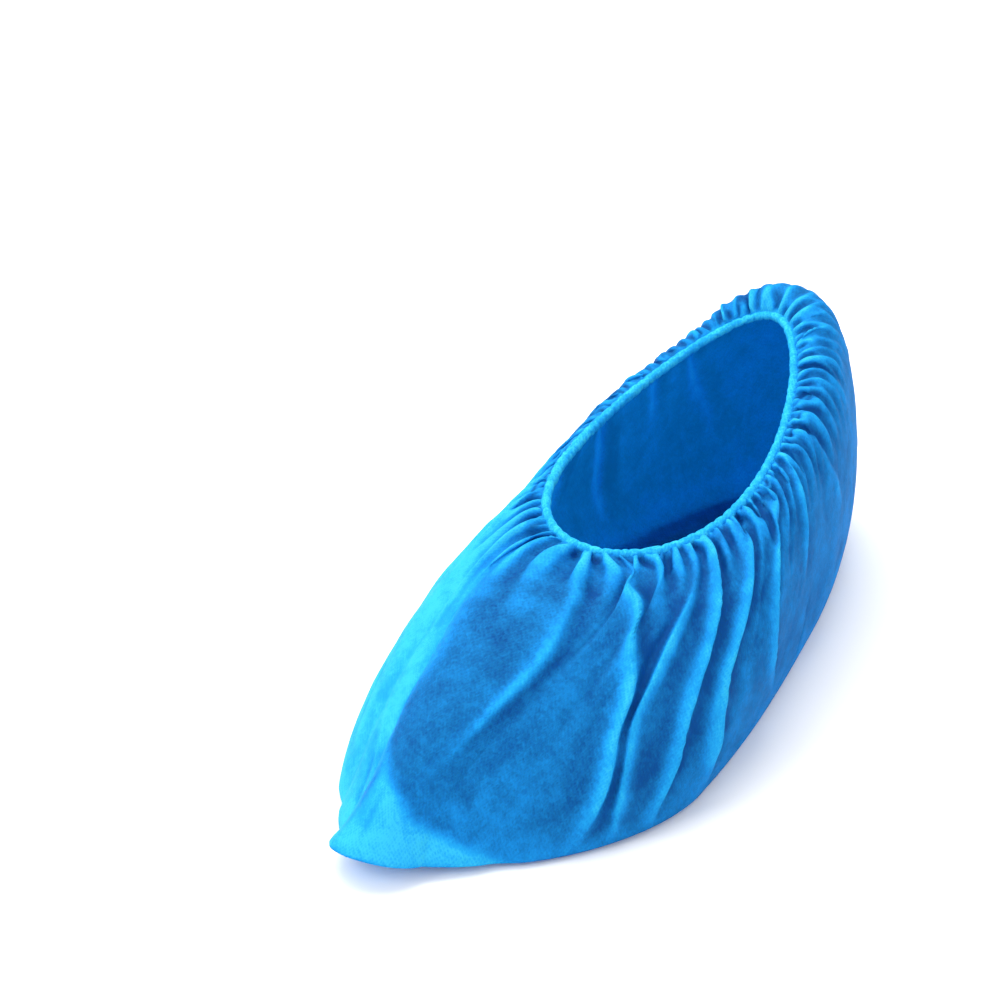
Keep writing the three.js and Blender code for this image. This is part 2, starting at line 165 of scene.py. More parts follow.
# The inner edge of the toe's flank that is painted pale, as painted light: places down and places around
FLANK_EDGE = (
    (0.0, -0.010), (0.12, -0.009), (0.25, -0.014), (0.5, -0.014), (0.62, -0.024), (0.74, -0.012),
    (1.0, 0.0),
)

# A ridge's trough and how far a leaning ridge is laid over, as shares of the ridge's height
TROUGH_SHARE = 0.14
LAY_OVER_SHARE = 0.5

# How far the cloth stands out just under the hem, how far below the hem, and over what reach
HEM_SWELL = 1.0
HEM_SWELL_PLACE = 7
HEM_SWELL_REACH = 8

# Painted light and shade of the folds: how much paler each millimetre makes a ridge, as a painted highlight
# along its crest with painted shade on its steep side, how much darker a crease is, as painted shade, and
# each millimetre a pucker, as painted shade
RIDGE_PAINTED_LIGHT_SHADE = 0.13
CREASE_PAINTED_SHADE = 0.22
PUCKER_PAINTED_SHADE = 0.8

# How far the settling web goes towards its cut lengths in one round, around, down and across, and how far
# its rows are evened out with the rows beside them
ROUND_PULL = 0.9
FALL_PULL = 0.8
CROSS_PULL = 0.15
EVENING = 0.02

# How much longer the cloth is than its folded shape everywhere, around and down, as shares
SLACK_ROUND = 0.002
SLACK_FALL = 0.003

# The cloth settles on every second column first, then on all: columns apart, rounds, push against bends
SETTLING = ((2, 110, 0.3), (1, 60, 0.35))

# Paleness of plain cloth, and what is added as painted light and shade: by the folds' painted highlights and
# shade, where folds stand proud, just under the hem, in the toe's corner and flank, once more in the flank's
# middle, at the heel and along the sole's edge
PALE_PLAIN = 0.36
PAINTED_SHADING_SHARE = 0.6
PROUD_PAINTED_LIGHT_SHADE = 0.3
UNDER_HEM_PAINTED_LIGHT = 0.3
TOE_PAINTED_LIGHT = 0.48
FLANK_PAINTED_LIGHT = 0.13
HEEL_PAINTED_LIGHT = 0.2
SOLE_EDGE_PAINTED_LIGHT = 0.14

# Welded strips: how many columns they have to each side of their middle, their first row below the hem, and
# how many rows before the sole's edge they end
WELD_COLUMNS = 9
WELD_ROW = 14
TOE_WELD_END = 12
HEEL_WELD_END = 8

# How far a strip's back and front stand off the cloth, and how high its ribs are, in millimetres
WELD_BACK = 0.15
WELD_FRONT = 0.55
WELD_RIB = 0.12


def smooth(x, low, high):
    s = np.clip((x - low) / (high - low), 0, 1)
    return s * s * (3 - 2 * s)


def bell(x):
    return np.exp(-x * x)


def lerp(a, b, s):
    return a + (b - a) * s


def station(column, around):
    """One column of the station table at any places around, by a smooth curve through its rows."""
    at = np.array(STATIONS["around"])
    value = np.array(STATIONS[column])
    at = np.concatenate([at[-2:] - 1, at, at[:3] + 1])
    value = np.concatenate([value[-2:], value, value[:3]])
    slope = np.gradient(value, at)
    slope[1:-1] = (value[2:] - value[:-2]) / (at[2:] - at[:-2])
    u = around % 1.0
    k = np.clip(np.searchsorted(at, u, side="right") - 1, 1, len(at) - 3)
    span = at[k + 1] - at[k]
    s = (u - at[k]) / span
    start = value[k] * (1 + 2 * s) * (1 - s) ** 2 + slope[k] * span * s * (1 - s) ** 2
    return start + value[k + 1] * s * s * (3 - 2 * s) - slope[k + 1] * span * s * s * (1 - s)


def rim_line(share):
    """The middle of the elastic, around the opening."""
    front, side = np.cos(TURN * share), np.sin(TURN * share)
    y = COVER_LENGTH / 2 - OPENING_BACK_INSET - OPENING_LENGTH / 2 * (1 + front)
    x = OPENING_WIDTH / 2 * side * (1 + OPENING_EGG * front)
    z = (RIM_FRONT + 2 * RIM_SIDE + RIM_BACK) / 4 + (RIM_FRONT - RIM_BACK) / 2 * front
    z = z + (RIM_FRONT - 2 * RIM_SIDE + RIM_BACK) / 4 * np.cos(2 * TURN * share)
    return np.stack([x, y, z], -1)


def sole_height(y):
    return TOE_LIFT * np.clip(1 - (y / COVER_LENGTH + 0.5) / BALL_SHARE, 0, 1) ** TOE_LIFT_CURVE


def half_width(place):
    """Half the sole's width at shares of the cover's length from the toe."""
    toe = 1 - np.clip(1 - place / BALL_SHARE, 0, 1) ** TOE_ROUNDNESS
    back = np.clip((place - BALL_SHARE) / (1 - BALL_SHARE), 0, 1)
    waist = 0.5 - 0.5 * np.cos(np.pi * np.clip(back / WAIST_SHARE, 0, 1))
    heel = np.clip((back - HEEL_ROUND_SHARE) / (1 - HEEL_ROUND_SHARE), 0, 1) ** 2.4
    foot = lerp(BALL_WIDTH / 2, HEEL_WIDTH / 2, waist) * toe * np.sqrt(np.clip(1 - heel, 0, 1))
    from_tip = place * COVER_LENGTH
    corner = np.sqrt(np.clip(from_tip * (2 * TOE_CORNER_RADIUS - from_tip), 0, None))
    notch = TOE_NOTCH_DEPTH * bell((from_tip - TOE_NOTCH_PLACE) / TOE_NOTCH_SPREAD)
    return np.maximum(foot, corner) - notch * smooth(place, 0, 0.02)


def sole_line(share):
    """The sole's edge."""
    place = (1 - np.cos(TURN * share)) / 2
    side = np.where(share % 1.0 < 0.5, 1.0, -1.0)
    aside = -TOE_TURN * np.clip(1 - place / BALL_SHARE, 0, 1) ** TOE_TURN_CURVE
    x = side * half_width(place) + aside
    y = (place - 0.5) * COVER_LENGTH
    return np.stack([x, y, sole_height(y)], -1)


def evenly(line):
    """The line, told off by its length: a function from shares of its length to points, and its length."""
    share = np.linspace(0, 1, 4801)
    points = line(share)
    run = np.concatenate([[0], np.cumsum(np.linalg.norm(np.diff(points, axis=0), axis=1))])
    return lambda u: line(np.interp((u % 1.0) * run[-1], run, share)), run[-1]


rim_at, rim_length = evenly(rim_line)
sole_at, sole_length = evenly(sole_line)


def unit(v):
    return v / np.maximum(np.linalg.norm(v, axis=-1, keepdims=True), 1e-9)


def outward(around):
    """The level way straight out of the cover at the sole's edge."""
    ahead, behind = sole_at(around + 0.01), sole_at(around - 0.01)
    d = ahead - behind
    return unit(np.stack([d[..., 1], -d[..., 0], 0 * d[..., 0]], -1))


def rim_frame(around):
    """Middle of the hem, the way the cloth leaves it, the way square to both, and the way along."""
    centre = rim_at(around)
    along = unit(rim_at(around + 0.002) - rim_at(around - 0.002))
    leave = outward(around) * (station("rim_out", around) * BALL_WIDTH)[..., None]
    leave = leave + np.array([0, 0, 1.0]) * (station("rim_up", around) * centre[..., 2])[..., None]
    leave = unit(leave - along * (leave * along).sum(-1, keepdims=True))
    return centre, leave, np.cross(leave, along), along


def middle(around, down):
    """The cloth's middle surface without folds, at rows of places down and columns of places around."""
    centre, leave, _, _ = rim_frame(around)
    out = outward(around)
    edge = sole_at(around)
    height = (centre - edge)[:, 2:3]
    up = np.array([0, 0, 1.0])
    start = centre + leave * (HEM_RADIUS * 0.55)
    high = centre + out * (station("rim_out", around) * BALL_WIDTH)[:, None]
    high = high + up * station("rim_up", around)[:, None] * height
    end = edge - out * CLOTH_THICKNESS / 2
    low = end + out * (station("sole_out", around) * BALL_WIDTH)[:, None]
    low = low + up * station("sole_up", around)[:, None] * height
    t = down[:, None, None]
    return (1 - t) ** 3 * start + 3 * (1 - t) ** 2 * t * high + 3 * (1 - t) * t * t * low + t ** 3 * end


def normals(surface):
    """Outward normals of a grid that closes on itself around."""
    along = np.roll(surface, -1, 1) - np.roll(surface, 1, 1)
    fall = np.gradient(surface, axis=0)
    return unit(np.cross(fall, along))


def cloud(shape_around, shape_down, around, down, seed):
    """Smooth random heights from -1 to 1 with so many cells around and down; closes on itself around."""
    draw = np.random.default_rng(seed)
    table = draw.uniform(-1, 1, (shape_down + 2, shape_around))
    x, y = (around % 1.0) * shape_around, np.clip(down, 0, 0.9999) * shape_down
    i, j = np.floor(x).astype(int) % shape_around, np.floor(y).astype(int)
    fx, fy = x - np.floor(x), y - np.floor(y)
    fx, fy = fx * fx * (3 - 2 * fx), fy * fy * (3 - 2 * fy)
    k = (i + 1) % shape_around
    return lerp(lerp(table[j, i], table[j, k], fx), lerp(table[j + 1, i], table[j + 1, k], fx), fy)


def apart(a, b):
    """How far place a is past place b by the shorter way around, from -0.5 to 0.5."""
    d = (a - b) % 1.0
    return np.where(d > 0.5, d - 1, d)


def crest(x, lean):
    """A pleat's section: a narrow ridge, steep on the side that it leans to and long on the other."""
    tight = np.where(x * np.sign(lean + 1e-9) > 0, 1 + 1.8 * abs(lean), 1 - 0.45 * abs(lean))
    reach = np.sqrt((x * tight) ** 2 + 0.03)
    return np.exp(-(reach - 0.17) * 1.25)


def carried(rim, down):
    """How far aside the cloth that starts at a place on the rim is carried by the folds beside it, at a
    column of places down, as a share around."""
    table = np.array(sorted((fold[0] % 1.0, fold[1] - fold[0], fold[2]) for fold in FOLDS))
    at = np.concatenate([table[:, 0] - 1, table[:, 0], table[:, 0] + 1])
    spread = rim % 1.0 + np.linspace(-0.02, 0.02, 9)
    move = np.mean(np.interp(spread, at, np.tile(table[:, 1], 3)))
    bow = np.mean(np.interp(spread, at, np.tile(table[:, 2], 3)))
    return move * down + bow * 4 * down * (1 - down)


def relief(around, down, fall):
    """How far the folds and gathers carry the cloth outward and aside, in millimetres, and the painted light
    and shade that they put on it. fall is the way down from the hem in millimetres at each place."""
    round_ = lerp(rim_length, sole_length, down)
    rise, aside, painted_shading = (np.zeros_like(fall) for _ in range(3))
    # Every line wanders a little from its straight way
    wander = 0.0035 * cloud(26, 5, around, down, 11) + 0.0012 * cloud(70, 9, around, down, 12)
    bent = around + wander
    for rim, sole, bow, start, end, height, spread, lean in FOLDS:
        line = lerp(rim, sole, down) + bow * 4 * down * (1 - down)
        d = apart(bent, line) * round_
        x = d / (spread * (0.75 + 0.5 * smooth(down, 0.05, 0.7)))
        shown = smooth(down, start - 0.05, start + 0.1) * (1 - smooth(down, end - 0.22, end + 0.03))
        ridge = height * shown * crest(x, lean)
        side = x * np.sign(lean + 1e-9)
        rise += ridge - height * shown * TROUGH_SHARE * bell((side - 1.9) / 0.9)
        aside += LAY_OVER_SHARE * lean * ridge * crest(x, 0) * smooth(down, 0.08, 0.4)
        # Painted highlight along the ridge's crest and painted shade on its steep side
        painted_shading += RIDGE_PAINTED_LIGHT_SHADE * height * shown * (bell((side + 0.25) / 0.8) - 0.55 * bell((side - 1.25) / 0.5))
    for place, low, height, wide, long_ in SWELLS:
        rise += height * bell(apart(around, place) / wide) * bell((down - low) / long_)

    line = TOE_LINE_PLACE + TOE_LINE_SLOPE * apart(around, 0.0)
    toe_front = bell(apart(around, 0.02) / 0.04)
    rise -= TOE_LINE_DEPTH * toe_front * bell((down - line) / 0.03)

    for place, end, depth, wide in CREASES:
        line = place + carried(place, down[:, :1])
        d = apart(bent, line) * round_ / (wide * (1 + 1.6 * down / max(end, 0.1)))
        shown = (1 - smooth(down, end * 0.25, end)) ** 1.2
        full = 1 - 0.75 * bell(apart(around, 0.43) / 0.12)
        rise -= depth * bell(d) * shown * full
        # Painted shade along the crease
        painted_shading -= CREASE_PAINTED_SHADE * bell(d * 1.2) * shown * smooth(fall, 1, 4)
    draw = np.random.default_rng(31)
    for k in range(PUCKERS):
        place = (k + draw.uniform(-0.3, 0.3)) / PUCKERS
        end, depth, wide = draw.uniform(6, 17), draw.uniform(0.5, 1.1), draw.uniform(0.7, 1.0)
        line = place + carried(place, down[:, :1]) + draw.normal(0, 0.03) * down
        d = apart(bent, line) * round_ / (wide * (1 + fall / 20))
        shown = (1 - smooth(fall, end * 0.5, end)) * smooth(fall, 0.3, 2)
        rise -= depth * bell(d) * shown
        # Painted shade along the pucker
        painted_shading -= PUCKER_PAINTED_SHADE * depth * bell(d) * shown
    rise += HEM_SWELL * bell((fall - HEM_SWELL_PLACE) / HEM_SWELL_REACH)

    # Along the far side of the opening the folds start lower, where the hem lies tight on the cloth
    far = smooth(apart(around, 0.545), 0.0, 0.05) * (1 - smooth(apart(around, 0.88), -0.05, 0.02))
    calm = 1 - 0.85 * far * (1 - smooth(down, 0.2, 0.6))
    foot = 1 - smooth(down, 0.9, 0.995)
    return rise * calm * smooth(fall, -0.5, 2.2) * foot, aside * smooth(fall, 1, 8) * foot, painted_shading


def wrinkles(around, down, fall):
    """Light wrinkles and unevenness of the web, in millimetres."""
    round_ = lerp(rim_length, sole_length, down)
    draw = np.random.default_rng(5)
    rise = np.zeros_like(fall)
    for k in range(WRINKLES):
        place, low = draw.uniform(0, 1), draw.uniform(0.12, 0.92)
        long_, wide = draw.uniform(5, 20), draw.uniform(0.8, 1.7)
        turn, height = draw.normal(0, 0.4), draw.uniform(-0.45, 0.35)
        x, y = apart(around, place) * round_, (down - low) * fall[-1:]
        turn += carried(place, 1.0) * sole_length / 130
        across = x * math.cos(turn) - y * math.sin(turn)
        along = x * math.sin(turn) + y * math.cos(turn)
        rise += height * bell(across / wide) * bell(along / long_)
    rise += cloud(170, 30, around, down, 41) * 0.08 + cloud(80, 14, around, down, 42) * 0.14
    rise += cloud(30, 8, around, down, 43) * 0.25
    return rise * smooth(down, 0.1, 0.3) * (1 - smooth(down, 0.9, 0.995))


def pull(points, pair_a, pair_b, rest, stiffness, push_only=False):
    """Moves both points of each pair towards their rest length apart."""
    a, b = points[pair_a], points[pair_b]
    gap_ = b - a
    long_ = np.sqrt((gap_ * gap_).sum(-1))
    change = 0.5 * stiffness * (long_ - rest) / np.maximum(long_, 1e-6)
    if push_only:
        change = np.minimum(change, 0)
    step = gap_ * change[..., None]
    points[pair_a] = a + step
    points[pair_b] = b - step


def settle(points, ground, cloth_round, cloth_fall, least, most, rounds, bend, seed):
    """Lets a web of cloth that is longer around than the shape under it find its folds, by moving each
    pair of neighbours towards the length that it was cut to. The hem's row and the sole's row stay."""
    rows, count = points.shape[:2]
    out = normals(ground)
    along = unit(np.roll(ground, -1, 1) - np.roll(ground, 1, 1))
    down_way = np.cross(along, out)
    falls = np.diff(ground, axis=0)
    way_down = np.vstack([np.zeros(count), np.cumsum(np.linalg.norm(falls, axis=2), axis=0)])
    way_up = way_down[-1:] - way_down
    start = points - ground
    slip = np.clip(0.3 * way_down, 0, 1.6) * np.clip(way_up / 14, 0, 1)
    aside_start, low_start = (start * along).sum(-1), (start * down_way).sum(-1)
    draw = np.random.default_rng(seed)
    points = points + out * (draw.normal(0, 0.05, (rows, count)) * (most - least > 0.3))[..., None]
    column = np.arange(count)
    steps = np.roll(ground, -1, 1)[:-1] - ground[:-1]
    sizes = np.linalg.norm(steps, axis=2) * np.linalg.norm(falls, axis=2)
    lean = (steps * falls).sum(-1) / np.maximum(sizes, 1e-6)
    cross = 2 * cloth_round[:-1] * cloth_fall * lean
    square = cloth_round[:-1] ** 2 + cloth_fall**2
    skew = [np.sqrt(np.maximum(square + sign * cross, 0.01)) for sign in (1, -1)]
    for _ in range(rounds):
        first = points[0].copy()
        last = points[-1].copy()
        for parity in (0, 1):
            i = column[parity::2]
            k = (i + 1) % count
            pull(points, (slice(None), i), (slice(None), k), cloth_round[:, i], ROUND_PULL)
        for parity in (0, 1):
            i = np.concatenate([column[parity * 2::4], column[parity * 2 + 1::4]])
            k = (i + 2) % count
            rest = (cloth_round[:, i] + cloth_round[:, (i + 1) % count]) * 0.97
            pull(points, (slice(None), i), (slice(None), k), rest, bend, push_only=True)
        for parity in (0, 1):
            j = np.arange(parity, rows - 1, 2)
            pull(points, j, j + 1, cloth_fall[j], FALL_PULL)
        for parity in (0, 1):
            j = np.arange(parity, rows - 1, 2)[:, None]
            here, there = column[None, :], (column[None, :] + 1) % count
            pull(points, (j, here), (j + 1, there), skew[0][j, here], CROSS_PULL)
            pull(points, (j, there), (j + 1, here), skew[1][j, here], CROSS_PULL)
        points[1:-1] += EVENING * (points[:-2] + points[2:] - 2 * points[1:-1])
        move = points - ground
        rise = np.clip((move * out).sum(-1), least, most)
        aside = np.clip((move * along).sum(-1), aside_start - slip, aside_start + slip)
        low = np.clip((move * down_way).sum(-1), low_start - slip, low_start + slip)
        points = ground + out * rise[..., None] + along * aside[..., None] + down_way * low[..., None]
        points[0], points[-1] = first, last
    return points


def finer_around(values):
    """Twice as many columns, by a smooth curve through every four."""
    after, before, next_ = np.roll(values, -1, 1), np.roll(values, 1, 1), np.roll(values, -2, 1)
    half = (9 * (values + after) - before - next_) / 16
    return np.stack([values, half], 2).reshape(values.shape[0], -1, *values.shape[2:])


def blur_around(values, reach):
    """Mean over neighbouring columns, reach columns to each side, done twice."""
    for _ in range(2):
        values = np.mean([np.roll(values, k, axis=1) for k in range(-reach, reach + 1)], axis=0)
    return values


def paleness(around, down, rise, painted_shading):
    """Painted light and shade on the cloth, with a random mottle of its web: from 0, painted shade where the
    cloth lies flat and looks deepest, to 1, painted light where it stands free and looks palest.
    """
    proud = rise - blur_around(rise, 7)
    # Painted light where the cloth stands proud of the cloth beside it, painted shade where it sinks below it
    fading = 1 - 0.3 * smooth(down, 0.8, 1.0)
    pale = PALE_PLAIN + PAINTED_SHADING_SHARE * painted_shading + PROUD_PAINTED_LIGHT_SHADE * np.tanh(proud / 0.8) * fading
    # Painted light just under the hem
    pale += UNDER_HEM_PAINTED_LIGHT * (1 - smooth(down, 0.02, 0.22))
    # Painted light on the toe's corner and flank, where light comes through the cloth
    aside = apart(around, 0.0)
    corner = smooth(down - (TOE_LINE_PLACE + TOE_LINE_SLOPE * aside), -0.02, 0.05)
    corner = corner * (1 - smooth(aside, 0.07, 0.10)) * smooth(aside, -0.03, -0.01)
    edge = np.interp(down, *zip(*FLANK_EDGE))
    flank = smooth(edge - aside, -0.004, 0.018) * (1 - smooth(edge - aside, 0.15, 0.24))
    flank = flank * smooth(down, 0.05, 0.2)
    pale += (TOE_PAINTED_LIGHT + FLANK_PAINTED_LIGHT * bell((aside + 0.09) / 0.06)) * np.maximum(corner, flank)
    # Painted light at the heel and along the sole's edge
    heel = bell((apart(around, 0.48)) / 0.09)
    pale += HEEL_PAINTED_LIGHT * heel + SOLE_EDGE_PAINTED_LIGHT * bell((down - 0.95) / 0.06)
    pale += 0.10 * cloud(44, 12, around, down, 61) + 0.05 * cloud(120, 30, around, down, 62)
    return np.clip(pale, 0, 1)


def select_only(piece):
    bpy.ops.object.select_all(action="DESELECT")
    piece.select_set(True)
    bpy.context.view_layer.objects.active = piece


def grid_piece(name, rings, wrap=False, maps=None, uv=None):
    """A mesh through rings of points that close on themselves around. uv gives a place on the cut cloth,
    in metres, for each ring's points and once more for the first."""
    rows, count = rings.shape[:2]
    number = np.arange(rows * count).reshape(rows, count)
    here = number if wrap else number[:-1]
    there = np.roll(number, -1, 0) if wrap else number[1:]
    faces = np.stack([here, there, np.roll(there, -1, 1), np.roll(here, -1, 1)], -1).reshape(-1, 4)
    mesh = bpy.data.meshes.new(name)
    mesh.from_pydata((rings.reshape(-1, 3) * MM).tolist(), [], faces.tolist())
    for label, values in (maps or {}).items():
        layer = mesh.attributes.new(label, "FLOAT", "POINT")
        layer.data.foreach_set("value", values.reshape(-1).astype(np.float32))
    if uv is not None:
        corners = np.stack([uv[:-1, :-1], uv[1:, :-1], uv[1:, 1:], uv[:-1, 1:]], 2)
        layer = mesh.uv_layers.new(name="cut_cloth")
        layer.data.foreach_set("uv", corners.reshape(-1).astype(np.float32))
    piece = bpy.data.objects.new(name, mesh)
    bpy.context.scene.collection.objects.link(piece)
    select_only(piece)
    bpy.ops.object.shade_smooth()
    return piece


# The scene's curves are worked out around the cover's own middle; the frame's origin is under the middle
# of its box, so everything is slid to where the elastic lies in the frame
elastic_low, elastic_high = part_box("elastic_cord")
ring = rim_line(np.linspace(0, 1, 4801))
slide = (np.array(elastic_low) + np.array(elastic_high)) / 2 / MM - (ring.min(0) + ring.max(0)) / 2
slide[2] = 0


# The cloth: rows from the hem down to the sole's edge, closer together near the hem, then across the sole
places = np.arange(COLUMNS) / COLUMNS
downs = np.linspace(0, 1, WALL_ROWS) ** 1.35
base = middle(places, downs)
steps = np.linalg.norm(np.diff(base, axis=0), axis=2)
fall = np.vstack([np.zeros(COLUMNS), np.cumsum(steps, axis=0)])
around_grid, down_grid = np.meshgrid(places, downs)
rise, aside, painted_shading = relief(around_grid, down_grid, fall)
along = unit(np.roll(base, -1, 1) - np.roll(base, 1, 1))
shaped = base + normals(base) * rise[..., None] + along * aside[..., None]
shaped[-1] = sole_at(places)


def cloth_lengths(ground, cloth):
    """Lengths that the cloth was cut to between neighbours, around and down. Around it is longest against
    the shape at the hem, where the elastic gathers it, and lower down it is as long as its folds."""
    round_ = np.linalg.norm(np.roll(cloth, -1, 1) - cloth, axis=2)
    steps = np.linalg.norm(np.diff(ground, axis=0), axis=2)
    way_down = np.vstack([np.zeros(cloth.shape[1]), np.cumsum(steps, axis=0)])
    spare = np.maximum(CUT_ROUND / MM / round_.sum(1) - 1, 0)[:, None]
    slack = SLACK_ROUND + spare * np.exp(-((way_down / GATHER_REACH) ** 1.2))
    return round_ * (1 + slack), steps * (1 + SLACK_FALL)


# How far the cloth may settle out of its main shape, in millimetres: freely under the hem, little lower
# down, and less around the heel and along the far side of the opening
near = np.exp(-((fall / 28) ** 2))
calm = 0.93 * smooth(around_grid, 0.30, 0.44) * (1 - smooth(around_grid, 0.84, 0.92))
free = np.clip(0.35 * fall, 0, 1) * np.clip((fall[-1:] - fall) / 14, 0, 1)
most = rise + (0.4 + 2.7 * near * (1 - calm)) * free
least = rise - (0.35 + 1.5 * near * (1 - 0.8 * calm)) * free
move = (shaped - base)[:, ::SETTLING[0][0]]
for level, (count, rounds, bend) in enumerate(SETTLING):
    if level:
        move = finer_around(move)
    ground = base[:, ::count]
    lengths = cloth_lengths(ground, shaped[:, ::count])
    move = settle(
        ground + move, ground, *lengths, least[:, ::count], most[:, ::count], rounds, bend, 70 + level
    ) - ground

# What the settling found is smoothed before it is added to the main shape: twice all over, and then only
# lower down, where the cloth hangs free of the gathers
found = move - (shaped - base)
for turn in range(10):
    share = 0.4 * (smooth(fall, 14, 34) if turn > 1 else np.ones_like(fall))[..., None]
    found = lerp(found, (np.roll(found, 1, 1) + np.roll(found, -1, 1)) / 2, share)
    found[1:-1] = lerp(found[1:-1], (found[:-2] + found[2:]) / 2, 0.75 * share[1:-1])
move = shaped - base + found + normals(base) * wrinkles(around_grid, down_grid, fall)[..., None]
out = normals(base)
rise = (move * out).sum(-1)
outer = base + move + out * CLOTH_THICKNESS / 2
outer[-1] = sole_at(places)


def across_sole(edge, rows):
    """Rows of the sole from its edge to the line half way between its two sides."""
    shares = (np.arange(1, rows + 1) / rows) ** 1.7
    spine = (edge + np.roll(edge[::-1], 1, axis=0)) / 2
    out = []
    for share in shares:
        row = lerp(edge, spine, share)
        row[:, 2] = sole_height(row[:, 1])
        out.append(row)
    return np.array(out)


skin = np.concatenate([outer, across_sole(outer[-1], SOLE_ROWS)])
# The edge between the wall and the sole is rounded a little
held = np.zeros(len(skin) - 2)
held[WALL_ROWS - 3:WALL_ROWS] = (0.3, 0.5, 0.3)
for _ in range(2):
    skin[1:-1] = lerp(skin[1:-1], (skin[:-2] + skin[2:]) / 2, held[:, None, None])
way = normals(skin)
way[-1] = (0, 0, -1)
inner = skin - way * CLOTH_THICKNESS
inner[-1, :, 2] = skin[-1, :, 2] + CLOTH_THICKNESS
rings = np.concatenate([inner[::-1], skin]) + slide

pale = paleness(around_grid, down_grid, rise, painted_shading)
pale = np.concatenate([pale, np.tile(pale[-1], (SOLE_ROWS, 1)) * 0.6 + 0.2])
travel = np.vstack([np.zeros(COLUMNS), np.cumsum(np.linalg.norm(np.diff(skin, axis=0), axis=2), axis=0)])
travel = np.hstack([travel, travel[:, :1]]) * MM
cut = np.stack([np.tile(np.linspace(0, CUT_ROUND, COLUMNS + 1), (len(skin), 1)), travel], -1)
cloth = grid_piece(
    "cover_cloth", rings,
    maps={"paleness": np.concatenate([pale[::-1], pale])},
    uv=np.concatenate([cut[::-1], cut]),
)
bpy.ops.object.mode_set(mode="EDIT")
bpy.ops.mesh.select_all(action="SELECT")
bpy.ops.mesh.remove_doubles(threshold=1e-6)
bpy.ops.mesh.normals_make_consistent(inside=False)
bpy.ops.object.mode_set(mode="OBJECT")


def around_rim(count, section):
    """Rings around the opening. section gives how far each corner is from the ring's middle, its angle in
    radians from the way that the cloth leaves the hem, and how far it is moved along the hem."""
    around = np.arange(count) / count
    centre, leave, square, along = rim_frame(around)
    distance, angle, shift = section(around)
    points = centre[:, None] + leave[:, None] * (distance * np.cos(angle))[..., None]
    points = points + square[:, None] * (distance * np.sin(angle))[..., None]
    return points + along[:, None] * shift[..., None] + slide


def hem_section(around):
    """The hem's roll: a little flattened, drawn in at each pucker and uneven all along."""
    angle = np.tile(TURN * np.arange(HEM_SIDES) / HEM_SIDES, (len(around), 1))
    u = around[:, None] + 0 * angle
    puckers = 0.5 + 0.5 * np.cos(TURN * (PUCKERS * u + 0.8 * cloud(40, 3, u, 0.5 + 0 * u, 20)))
    size = 0.75 + 0.45 * cloud(70, 3, u, 0.5 + 0 * u, 52)
    uneven = cloud(90, 6, u + 0.002 * np.sin(angle), angle / TURN, 51) * HEM_UNEVENNESS
    distance = HEM_RADIUS * (1 - HEM_FLATNESS * np.cos(2 * angle)) - HEM_PUCKER * size * puckers**3 + uneven
    return distance, angle, HEM_TWIST * np.sin(angle + TURN * 12 * u) * size


def elastic_section(around):
    """A plain round cord."""
    angle = np.tile(TURN * np.arange(ELASTIC_SIDES) / ELASTIC_SIDES, (len(around), 1))
    return np.full(angle.shape, ELASTIC_RADIUS), angle, np.zeros(angle.shape)


hem = grid_piece("hem_roll", around_rim(HEM_RINGS, hem_section), wrap=True)
elastic = grid_piece("elastic", around_rim(ELASTIC_RINGS, elastic_section), wrap=True)


def weld(name, column, first, last):
    """A pressed strip inside the cloth, over one column of it."""
    rows = np.arange(first, last)
    across = np.arange(-WELD_COLUMNS, WELD_COLUMNS + 1)
    columns = (column + across) % COLUMNS
    strip = inner[rows][:, columns]
    inward = -way[rows][:, columns]
    near = strip + inward * WELD_BACK
    far = strip + inward * (WELD_FRONT + WELD_RIB * (across % 2))[None, :, None]
    rings = np.concatenate([near, far[:, ::-1]], axis=1) + slide
    piece = grid_piece(name, rings)
    select_only(piece)
    bpy.ops.object.mode_set(mode="EDIT")
    bpy.ops.mesh.select_all(action="DESELECT")
    bpy.ops.mesh.select_non_manifold()
    bpy.ops.mesh.fill()
    bpy.ops.mesh.select_all(action="SELECT")
    bpy.ops.mesh.normals_make_consistent(inside=False)
    bpy.ops.object.mode_set(mode="OBJECT")
    return piece


toe_weld = weld("toe_weld", 0, WELD_ROW, WALL_ROWS - TOE_WELD_END)
heel_weld = weld("heel_weld", COLUMNS // 2, WELD_ROW, WALL_ROWS - HEEL_WELD_END)


def new_material(name):
    material = bpy.data.materials.new(name)
    material.use_nodes = True
    return material, material.node_tree


def link(tree, source, target):
    tree.links.new(source, target)


def node(tree, kind, **values):
    """A new node with its inputs, or else its own settings, set by name."""
    made = tree.nodes.new(kind)
    for key, value in values.items():
        if key in made.inputs:
            made.inputs[key].default_value = value
        else:
            setattr(made, key, value)
    return made


def maths(tree, operation, first, second, third=0.0):
    """A Math node on numbers or other nodes' outputs."""
    made = tree.nodes.new("ShaderNodeMath")
    made.operation = operation
    for socket, value in zip(made.inputs, (first, second, third)):
        if isinstance(value, (int, float)):
            socket.default_value = value
        else:
            tree.links.new(value, socket)
    return made.outputs[0]


def remap(tree, value, low, high, to_low=0.0, to_high=1.0):
    """A smooth step of a value from low and high to the two ends given."""
    ends = {"From Min": low, "From Max": high, "To Min": to_low, "To Max": to_high}
    made = node(tree, "ShaderNodeMapRange", **ends)
    made.interpolation_type = "SMOOTHSTEP"
    tree.links.new(value, made.inputs["Value"])
    return made.outputs[0]


